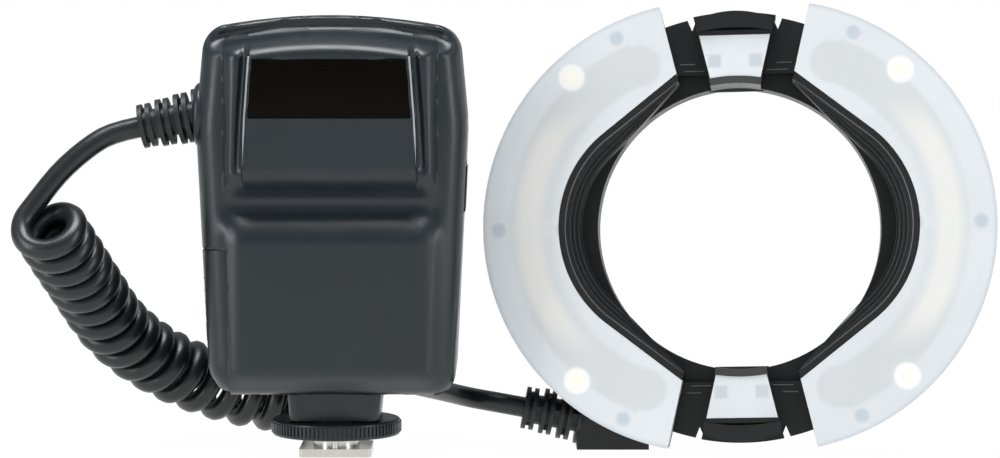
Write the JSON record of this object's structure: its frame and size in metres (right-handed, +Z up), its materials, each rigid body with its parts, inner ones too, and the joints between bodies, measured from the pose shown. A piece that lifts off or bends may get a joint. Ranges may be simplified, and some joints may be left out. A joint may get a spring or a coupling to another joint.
{
  "type": "macro ring flash",
  "caption": "Macro ring flash: control unit on an accessory foot, coiled cord, and a ring head with two sliding diffuser halves.",
  "frame": {"origin": "centre of the accessory foot's bottom face, on the surface that the unit stands on", "axes": "+Z up out of the foot, +X towards the ring head, +Y away from the control unit's window"},
  "size_m": [0.252, 0.0901, 0.1173],
  "materials": {
    "housing_black": "satin moulded plastic",
    "door_black": "satin moulded plastic",
    "gloss_black": "gloss",
    "rubber_black": "matt rubber",
    "cord_black": "satin rubber",
    "ring_black": "fine matt plastic",
    "diffuser_white": "frosted translucent plastic",
    "steel": "bright plated metal",
    "contact_gold": "plated contact",
    "screw_steel": "zinc plated",
    "cell_wrap": "printed film, left bare",
    "board_green": "circuit board",
    "reflector_silver": "bright reflector",
    "tube_glass": "glass tube",
    "lamp_clear": "clear lamp",
    "insulator": "moulded plastic",
    "display_grey": "display",
    "pane_clear": "clear pane"
  },
  "bodies": {
    "unit_and_ring_frame": {"front_shell": "housing_black", "rear_shell": "housing_black", "top_cover": "housing_black", "sensor_window": "gloss_black", "port_sockets": "insulator", "cord_hub": "housing_black", "unit_relief": "rubber_black", "neck_block": "housing_black", "display_pane": "pane_clear", "display_module": "display_grey", "case_screws": "screw_steel", "battery_cells": "cell_wrap", "battery_tray": "insulator", "battery_contacts": "contact_gold", "main_board": "board_green", "main_capacitor": "insulator", "charge_transformer": "insulator", "foot_plate": "steel", "pin_insulator": "insulator", "cord_upper": "cord_black", "cord_coil": "cord_black", "cord_lower": "cord_black", "ring_relief": "rubber_black", "ring_frame": "ring_black", "bridge_top": "ring_black", "bridge_bottom": "ring_black", "window_top": "diffuser_white", "window_bottom": "diffuser_white", "window_lamps_top": "board_green", "window_lamps_bottom": "board_green", "bridge_screws_top": "screw_steel", "bridge_screws_bottom": "screw_steel"},
    "left_half": {"left_housing": "ring_black", "left_diffuser": "diffuser_white", "left_reflector": "reflector_silver", "left_flash_tube": "tube_glass", "left_tube_clip": "ring_black", "left_lamps": "lamp_clear", "left_screws": "screw_steel"},
    "right_half": {"right_housing": "ring_black", "right_diffuser": "diffuser_white", "right_reflector": "reflector_silver", "right_flash_tube": "tube_glass", "right_tube_clip": "ring_black", "right_lamps": "lamp_clear", "right_screws": "screw_steel"},
    "lock_wheel": {"lock_wheel": "housing_black"},
    "clamp": {"clamp_ring": "steel"},
    "contacts": {"contact_pins": "contact_gold"},
    "battery_door": {"battery_door": "door_black"},
    "door_latch": {"door_latch": "door_black"},
    "socket_cover": {"socket_cover": "door_black"},
    "power_switch": {"power_switch": "door_black"},
    "mode_button": {"mode_button": "door_black"},
    "set_button": {"set_button": "door_black"},
    "test_button": {"test_button": "door_black"},
    "minus_button": {"minus_button": "door_black"},
    "plus_button": {"plus_button": "door_black"},
    "release_button_top": {"release_button_top": "ring_black"},
    "claw_top": {"claw_top": "steel"},
    "release_button_bottom": {"release_button_bottom": "ring_black"},
    "claw_bottom": {"claw_bottom": "steel"}
  },
  "joints": [
    {"name": "left_half_slide", "type": "slide", "parent": "unit_and_ring_frame", "child": "left_half", "axis": [0.9953, -0.0931, 0.026], "range_m": [0, 0.0075]},
    {"name": "right_half_slide", "type": "slide", "parent": "unit_and_ring_frame", "child": "right_half", "axis": [-0.9953, 0.0931, -0.026], "range_m": [0, 0.0075]},
    {"name": "lock_turn", "type": "hinge", "parent": "unit_and_ring_frame", "child": "lock_wheel", "pos_m": [0, 0, 0.007], "axis": [0, 0, 1], "range_deg": [0, 270]},
    {"name": "clamp_slide", "type": "slide", "parent": "unit_and_ring_frame", "child": "clamp", "axis": [0, 0, -1], "range_m": [0, 0.0012]},
    {"name": "contacts_press", "type": "slide", "parent": "unit_and_ring_frame", "child": "contacts", "axis": [0, 0, 1], "range_m": [0, 0.0005], "stiffness_N_per_m": 400},
    {"name": "door_slide", "type": "slide", "parent": "unit_and_ring_frame", "child": "battery_door", "axis": [0.0468, 0, -0.9989], "range_m": [0, 0.005]},
    {"name": "latch_slide", "type": "slide", "parent": "battery_door", "child": "door_latch", "axis": [0, 1, 0], "range_m": [0, 0.002]},
    {"name": "cover_slide", "type": "slide", "parent": "unit_and_ring_frame", "child": "socket_cover", "axis": [0, 1, 0], "range_m": [0, 0.012]},
    {"name": "switch_slide", "type": "slide", "parent": "unit_and_ring_frame", "child": "power_switch", "axis": [1, 0, 0], "range_m": [0, 0.005]},
    {"name": "mode_button_press", "type": "slide", "parent": "unit_and_ring_frame", "child": "mode_button", "axis": [0, -1, 0], "range_m": [0, 0.0008], "stiffness_N_per_m": 400},
    {"name": "set_button_press", "type": "slide", "parent": "unit_and_ring_frame", "child": "set_button", "axis": [0, -1, 0], "range_m": [0, 0.0008], "stiffness_N_per_m": 400},
    {"name": "test_button_press", "type": "slide", "parent": "unit_and_ring_frame", "child": "test_button", "axis": [0, -1, 0], "range_m": [0, 0.0008], "stiffness_N_per_m": 400},
    {"name": "minus_button_press", "type": "slide", "parent": "unit_and_ring_frame", "child": "minus_button", "axis": [0, -1, 0], "range_m": [0, 0.0008], "stiffness_N_per_m": 400},
    {"name": "plus_button_press", "type": "slide", "parent": "unit_and_ring_frame", "child": "plus_button", "axis": [0, -1, 0], "range_m": [0, 0.0008], "stiffness_N_per_m": 400},
    {"name": "release_top_press", "type": "slide", "parent": "unit_and_ring_frame", "child": "release_button_top", "axis": [0.016, -0.1065, -0.9942], "range_m": [0, 0.0014], "stiffness_N_per_m": 400},
    {"name": "claw_top_slide", "type": "slide", "parent": "unit_and_ring_frame", "child": "claw_top", "axis": [-0.016, 0.1065, 0.9942], "range_m": [0, 0.00098]},
    {"name": "release_bottom_press", "type": "slide", "parent": "unit_and_ring_frame", "child": "release_button_bottom", "axis": [-0.016, 0.1065, 0.9942], "range_m": [0, 0.0014], "stiffness_N_per_m": 400},
    {"name": "claw_bottom_slide", "type": "slide", "parent": "unit_and_ring_frame", "child": "claw_bottom", "axis": [0.016, -0.1065, -0.9942], "range_m": [0, 0.00098]}
  ],
  "couplings": [
    {"joint": "clamp_slide", "follows": "lock_turn", "m_per_rad": 0.00025465},
    {"joint": "claw_top_slide", "follows": "release_top_press", "ratio": 0.7},
    {"joint": "claw_bottom_slide", "follows": "release_bottom_press", "ratio": 0.7}
  ]
}
